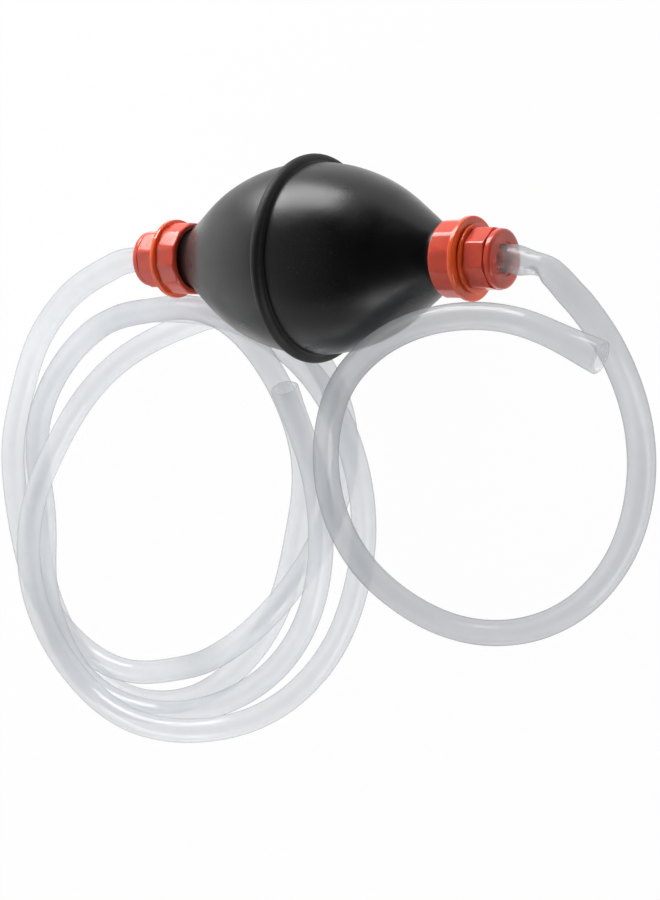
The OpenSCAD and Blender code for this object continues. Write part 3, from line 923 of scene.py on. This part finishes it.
class SIPHON_OT_valve_bodies(Operator):
    """Turn the valve bodies: flange, grooved step, nose, barb and spigot, with the outlet's stop ribs."""

    bl_idname = "siphon.valve_bodies"
    bl_label = "Valve bodies"

    def execute(self, context):
        fitting = settings("fitting")
        # A brighter copy of the orange plastic, with painted glow at the flange; its subsurface glow is
        # real.
        plastic = plastic_finish("orange_rim_plastic", tuple(fitting.rim_colour_painted_glow), glow=0.6)
        profile = self.profile(fitting)
        for direction, end in ((1, "inlet"), (-1, "outlet")):
            piece = turned_piece(end + "_body_skin", profile, direction, plastic, segments=192)
            dress(piece, "siphon", "orange_plastic", end + "_body")
        ribs = ring_of_copies("outlet_stop_ribs", self.rib(fitting), fitting.stop_ribs, plastic)
        dress(ribs, "siphon", "orange_plastic")
        return {"FINISHED"}

    @staticmethod
    def cone(f):
        """Where the cone inside starts at the port and ends at the chamber's wall."""
        port = f.step_out - PORT_DEPTH
        return port, port - (f.chamber_radius - f.port_radius)

    def profile(self, f):
        """Spigot, flange, grooved step, nose, socket, ridged barb, waterway and cone."""
        spigot_in = f.flange_in - f.spigot
        flange_round_in, flange_round_out = 0.0007, 0.0008
        groove = f.flange_out + (f.step_out - f.flange_out) / 3
        seat = settings("hose").seat
        socket = settings("hose").outside / 2 + FIT
        cup = f.clamp_radius + f.gap
        clamp_in = f.nut_floor - f.gap - f.clamp
        cup_in = clamp_in - f.gap
        taper_out, taper_deep = clamp_in + 0.0023, 0.0018
        barb_out = seat + f.barb
        port, chamber = self.cone(f)
        ridges = []
        for along in RIDGES_AT:
            at = seat + along
            ridges += [(f.barb_radius, at, 0), (f.barb_radius + RIDGE_PROUD, at, 0)]
            ridges += [(f.barb_radius, at + RIDGE_LENGTH, 0)]
        return rounded([
            (f.chamber_radius, spigot_in, 0), (f.spigot_radius, spigot_in, FULL),
            (f.spigot_radius, f.flange_in, 0), (f.flange_radius, f.flange_in, flange_round_in),
            (f.flange_radius, f.flange_out, flange_round_out), (f.nut_radius, f.flange_out, FINE),
            (f.nut_radius, groove, FINE), (f.step_radius, groove, SOFT), (f.step_radius, f.step_out, FULL),
            (f.nose_radius, f.step_out, 0), (f.nose_radius, f.nose_out, SOFT), (cup, f.nose_out, 0),
            (cup, taper_out, 0), (cup - taper_deep, cup_in, 0), (socket, cup_in, 0),
            (socket, seat, 0), (f.barb_radius, seat, 0), *ridges, (f.barb_radius, barb_out, SOFT),
            (f.port_radius, barb_out, SOFT), (f.port_radius, port, 0), (f.chamber_radius, chamber, 0),
        ])

    def rib(self, f):
        """One rib on the cone inside the outlet, which holds the open ball off the waterway."""
        port, chamber = self.cone(f)
        height, half = 0.0022, 0.0009
        wall = f.chamber_radius + FIT
        slope = [(f.port_radius, port), (wall, chamber)]
        side = [*((r, s - height) for r, s in slope), *reversed(slope)]
        corners = [(-s, w, r) for w in (-half, half) for r, s in side]
        walls = [(i, (i + 1) % 4, (i + 1) % 4 + 4, i + 4) for i in range(4)]
        mesh = bpy.data.meshes.new("stop_rib")
        mesh.from_pydata(corners, [], [(3, 2, 1, 0), (4, 5, 6, 7), *walls])
        return mesh


class SIPHON_OT_nuts(Operator):
    """Turn the hose nuts: flats, a groove, and a plain ring with a rounded edge."""

    bl_idname = "siphon.nuts"
    bl_label = "Hose nuts"

    def execute(self, context):
        f = settings("fitting")
        plastic = plastic_finish("orange_red_nut_plastic", tuple(f.colour), gloss=0.13)
        flat = f.nut_radius * math.cos(math.pi / f.nut_flats)
        outer = f.nut_radius - TIP_TRIM
        shoulder, dome = 0.0005, 0.0030
        ring = 0.004
        ring_in = f.nut_out - ring
        groove = ring / 6
        groove_out = ring_in + groove
        hole = settings("hose").outside / 2 + f.gap
        recess, recess_radius = f.nut_out - 0.0008, hole + 0.0012
        thread = f.nose_radius + FIT
        cup = f.clamp_radius + f.gap
        thread_out = f.nose_out + f.gap
        profile = rounded([
            (thread, f.nut_in, FINE), (outer, f.nut_in, shoulder), (outer, ring_in, shoulder),
            (flat - groove, ring_in, FINE), (flat - groove, groove_out, FINE),
            (flat, groove_out, SOFT), (flat, f.nut_out, dome), (recess_radius, f.nut_out, SOFT),
            (recess_radius, recess, FINE), (hole, recess, FINE), (hole, f.nut_floor, 0),
            (cup, f.nut_floor, 0), (cup, thread_out + thread - cup, 0), (thread, thread_out, 0),
        ], steps=6)
        for direction, end, turn in ((1, "inlet", -16), (-1, "outlet", 14)):
            piece = turned_piece(
                end + "_nut_skin", profile, direction, plastic, segments=384, flats=f.nut_flats,
                flat_radius=flat, softness=f.corner, turn=turn, crease=24,
            )
            dress(piece, end + "_hose_nut", "orange_plastic", end + "_nut")
        return {"FINISHED"}


class SIPHON_OT_inner(Operator):
    """Finish the pieces inside the fittings, which keep the part's own shapes."""

    bl_idname = "siphon.inner"
    bl_label = "Inner pieces"

    def execute(self, context):
        pale = plastic_finish("inner_plastic", tuple(settings("fitting").inner_colour), gloss=0.35)
        washer = rubber_finish("washer_rubber", WASHER_COLOUR, gloss=0.6)
        for end in ("inlet", "outlet"):
            paint(end + "_gasket", washer)
            for name in ("_ball", "_clamp_ring"):
                paint(end + name, pale)
        paint("inlet_cage", pale)
        paint("outlet_seat", pale)
        return {"FINISHED"}


class SIPHON_OT_stage(Operator):
    """Lay a pale floor and set up soft studio light."""

    bl_idname = "siphon.stage"
    bl_label = "Floor and light"

    def execute(self, context):
        self.lay_floor(tuple(settings("stage").floor))
        self.light_world(context.scene)
        for name, place, aim, size, power in (
            ("key_softbox", (-0.40, 0.96, 0.32), (0.0, -0.05, 0.03), (0.9, 0.56), 15.0),
            ("left_softbox", (-0.95, -0.12, 0.45), (-0.1, -0.08, 0.03), (1.6, 0.9), 4.0),
            ("front_softbox", (-0.10, -1.10, 0.40), (0.0, -0.05, 0.03), (2.0, 0.8), 1.7),
            ("right_softbox", (0.75, -0.78, 0.26), (0.08, 0.0, 0.04), (1.0, 0.45), 4.2),
        ):
            data = bpy.data.lights.new(name, "AREA")
            data.shape = "RECTANGLE"
            data.size, data.size_y = size
            data.energy = power
            lamp = bpy.data.objects.new(name, data)
            lamp.location = place
            lamp.rotation_mode = "QUATERNION"
            lamp.rotation_quaternion = (Vector(aim) - Vector(place)).to_track_quat("-Z", "Y")
            context.scene.collection.objects.link(lamp)
        context.scene.view_settings.view_transform = "Standard"
        context.scene.cycles.transparent_max_bounces = 64
        return {"FINISHED"}

    @staticmethod
    def seen(n):
        """1 for rays that show the background: from the camera, in gloss, and through the clear hose."""
        path = n.add("ShaderNodeLightPath").node.outputs
        some = n.math("MAXIMUM", path["Is Camera Ray"], path["Is Transmission Ray"])
        return n.math("MAXIMUM", some, path["Is Glossy Ray"])

    def lay_floor(self, colour):
        """A wide floor just under the part, which shows as white."""
        half, low, white_share = 6.0, -0.0002, 0.975
        corners = [(x * half, y * half, low) for x, y in ((-1, -1), (1, -1), (1, 1), (-1, 1))]
        mesh = bpy.data.meshes.new("floor")
        mesh.from_pydata(corners, [], [(0, 1, 2, 3)])
        floor = new_piece("floor", mesh)
        finish = bpy.data.materials.new("pale_floor")
        finish.use_nodes = True
        finish.node_tree.nodes.clear()
        n = Nodes(finish.node_tree)
        lit = n.add("ShaderNodeBsdfDiffuse", {"Color": (*colour, 1)})
        white = n.add("ShaderNodeEmission", {"Color": (1, 1, 1, 1), "Strength": 1.0})
        share = n.math("MULTIPLY", self.seen(n), white_share)
        surface = n.add("ShaderNodeMixShader", {0: share, 1: lit, 2: white})
        n.add("ShaderNodeOutputMaterial", {"Surface": surface})
        mesh.materials.append(finish)

    def light_world(self, scene):
        """A dim room that is lighter on the left, and white where it is seen directly."""
        light_side = (-0.91, -0.10, 0.40)
        world = bpy.data.worlds.new("studio")
        scene.world = world
        world.use_nodes = True
        world.node_tree.nodes.clear()
        n = Nodes(world.node_tree)
        way = n.add("ShaderNodeTexCoord")
        side = n.add("ShaderNodeVectorMath", {0: way, 1: light_side}, out=1, operation="DOT_PRODUCT")
        room = stretched(n, side, 0.1, 0.9, 0.05, 0.50)
        path = n.add("ShaderNodeLightPath").node.outputs
        white = n.math("MAXIMUM", path["Is Camera Ray"], path["Is Transmission Ray"])
        strength = n.math("MAXIMUM", white, room)
        sky = n.add("ShaderNodeBackground", {"Color": (1, 1, 1, 1), "Strength": strength})
        n.add("ShaderNodeOutputWorld", {"Surface": sky})


OPERATORS = (
    SIPHON_OT_camera, SIPHON_OT_hoses, SIPHON_OT_bulb, SIPHON_OT_collars, SIPHON_OT_valve_bodies,
    SIPHON_OT_nuts, SIPHON_OT_inner, SIPHON_OT_stage,
)


class SIPHON_PT_panel(Panel):
    """Lists the siphon's pieces."""

    bl_idname = "SIPHON_PT_panel"
    bl_label = "Siphon"
    bl_space_type = "VIEW_3D"
    bl_region_type = "UI"
    bl_category = "Siphon"

    def draw(self, context):
        for operator in OPERATORS:
            self.layout.operator(operator.bl_idname)


GROUPS = {"bulb": BulbSettings, "fitting": FittingSettings, "hose": HoseSettings, "stage": StageSettings}


def register():
    """Adds the settings, operators and panel to Blender."""
    for cls in (*GROUPS.values(), *OPERATORS, SIPHON_PT_panel):
        bpy.utils.register_class(cls)
    for name, group in GROUPS.items():
        setattr(bpy.types.Scene, "siphon_" + name, PointerProperty(type=group))


def unregister():
    """Takes them out again."""
    for name in GROUPS:
        delattr(bpy.types.Scene, "siphon_" + name)
    for cls in reversed((*GROUPS.values(), *OPERATORS, SIPHON_PT_panel)):
        bpy.utils.unregister_class(cls)


def main():
    """Builds everything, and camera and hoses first."""
    register()
    bpy.ops.siphon.camera()
    bpy.ops.siphon.hoses()
    bpy.ops.siphon.bulb()
    bpy.ops.siphon.collars()
    bpy.ops.siphon.valve_bodies()
    bpy.ops.siphon.nuts()
    bpy.ops.siphon.inner()
    bpy.ops.siphon.stage()


if __name__ == "__main__":
    main()
